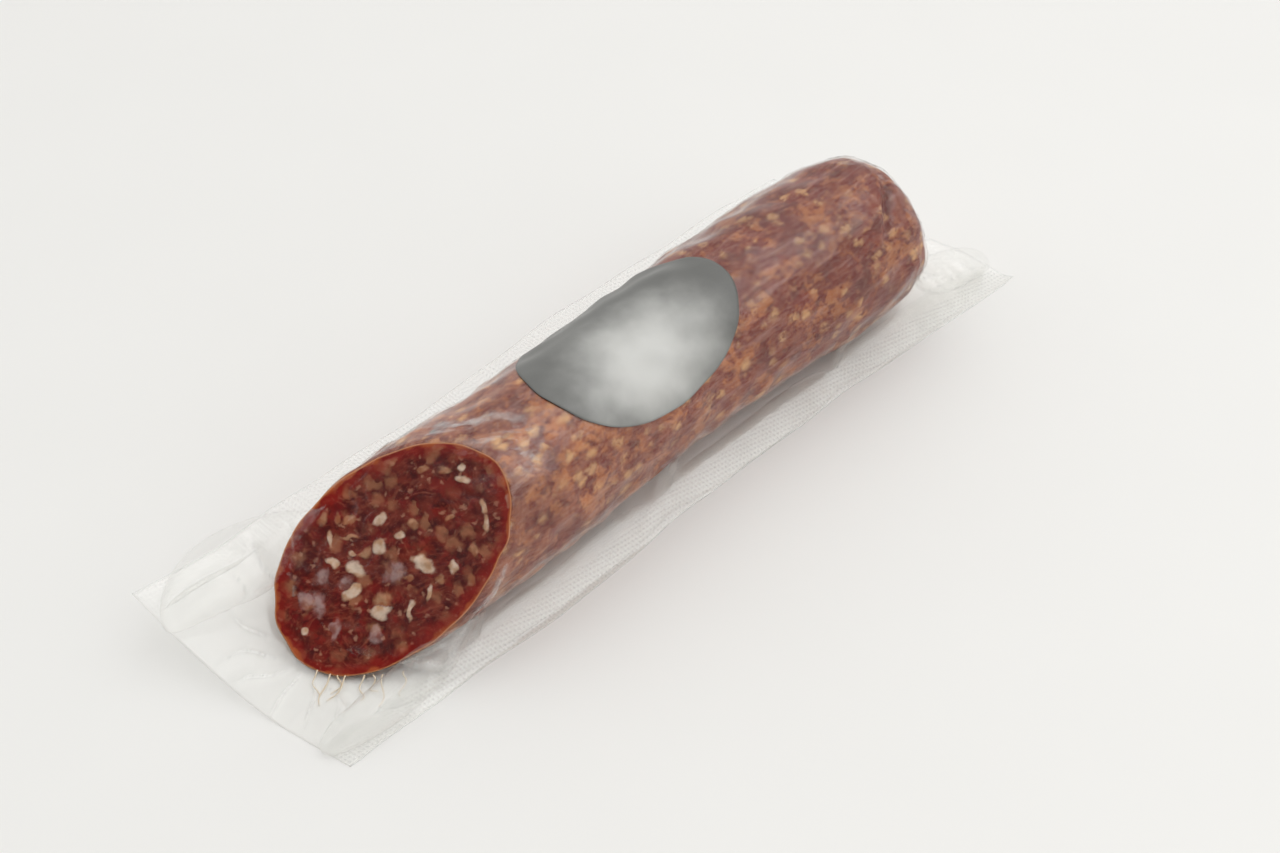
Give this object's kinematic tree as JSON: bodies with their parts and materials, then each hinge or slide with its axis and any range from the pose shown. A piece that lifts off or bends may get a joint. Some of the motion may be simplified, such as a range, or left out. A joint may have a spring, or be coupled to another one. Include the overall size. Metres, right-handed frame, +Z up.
{
  "type": "cured sausage",
  "caption": "Half of a dry-cured sausage cut at a slant, sealed in a clear vacuum pouch with a plain oval label, lying on its side.",
  "frame": {"origin": "on the table, on the flat strip that the sausage rests on, under the middle of the label", "axes": "+X along the sausage from the slanted cut to the round end, +Y to its left, +Z up"},
  "size_m": [0.2792, 0.0738, 0.0496],
  "materials": {
    "cured_meat": "moist dark red cut face with cream fat, mottled red-brown casing with tan fat showing through",
    "clear_film": "clear glossy film",
    "label_face": "satin grey"
  },
  "bodies": {
    "root": {"sausage": "cured_meat", "pouch_lower_film": "clear_film", "pouch_upper_film": "clear_film", "oval_label": "label_face"}
  },
  "joints": []
}
